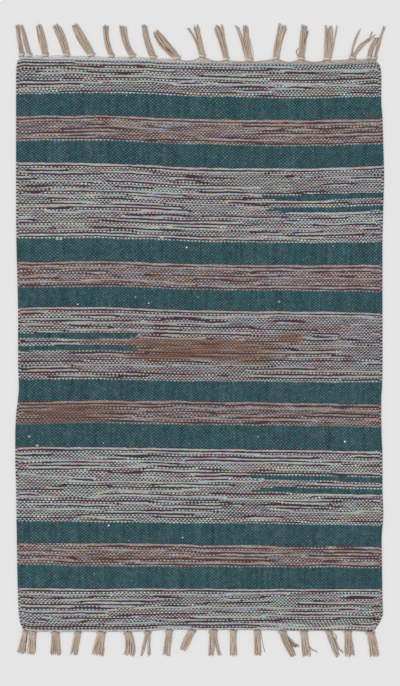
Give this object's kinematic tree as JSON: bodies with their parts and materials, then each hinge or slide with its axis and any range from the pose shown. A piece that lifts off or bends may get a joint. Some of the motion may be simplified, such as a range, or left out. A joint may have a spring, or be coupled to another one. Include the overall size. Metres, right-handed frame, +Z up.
{
  "type": "kilim rug",
  "caption": "Flat weft-faced striped rug with drawn-in corners, bare warp strips and knotted tassels along both ends.",
  "frame": {"origin": "on the floor under the middle of the rug, tassels counted in", "axes": "+Z up, +X along the wefts, +Y along the warps towards the end with the longer tassels"},
  "size_m": [0.9249, 1.5797, 0.008],
  "materials": {
    "woven_cloth": "marled plum and pale green yarn with dark teal stripes, matt",
    "bare_warp": "undyed cotton warp, greyish beige, matt",
    "tassel_yarn": "undyed twisted cotton, tan, matt"
  },
  "bodies": {
    "root": {"field": "woven_cloth", "bare_warp_top": "bare_warp", "bare_warp_bottom": "bare_warp", "tassel_top_01": "tassel_yarn", "tassel_top_02": "tassel_yarn", "tassel_top_03": "tassel_yarn", "tassel_top_04": "tassel_yarn", "tassel_top_05": "tassel_yarn", "tassel_top_06": "tassel_yarn", "tassel_top_07": "tassel_yarn", "tassel_top_08": "tassel_yarn", "tassel_top_09": "tassel_yarn", "tassel_top_10": "tassel_yarn", "tassel_top_11": "tassel_yarn", "tassel_top_12": "tassel_yarn", "tassel_top_13": "tassel_yarn", "tassel_top_14": "tassel_yarn", "tassel_top_15": "tassel_yarn", "tassel_top_16": "tassel_yarn", "tassel_top_17": "tassel_yarn", "tassel_top_18": "tassel_yarn", "tassel_bottom_01": "tassel_yarn", "tassel_bottom_02": "tassel_yarn", "tassel_bottom_03": "tassel_yarn", "tassel_bottom_04": "tassel_yarn", "tassel_bottom_05": "tassel_yarn", "tassel_bottom_06": "tassel_yarn", "tassel_bottom_07": "tassel_yarn", "tassel_bottom_08": "tassel_yarn", "tassel_bottom_09": "tassel_yarn", "tassel_bottom_10": "tassel_yarn", "tassel_bottom_11": "tassel_yarn", "tassel_bottom_12": "tassel_yarn", "tassel_bottom_13": "tassel_yarn", "tassel_bottom_14": "tassel_yarn", "tassel_bottom_15": "tassel_yarn", "tassel_bottom_16": "tassel_yarn", "tassel_bottom_17": "tassel_yarn"}
  },
  "joints": []
}
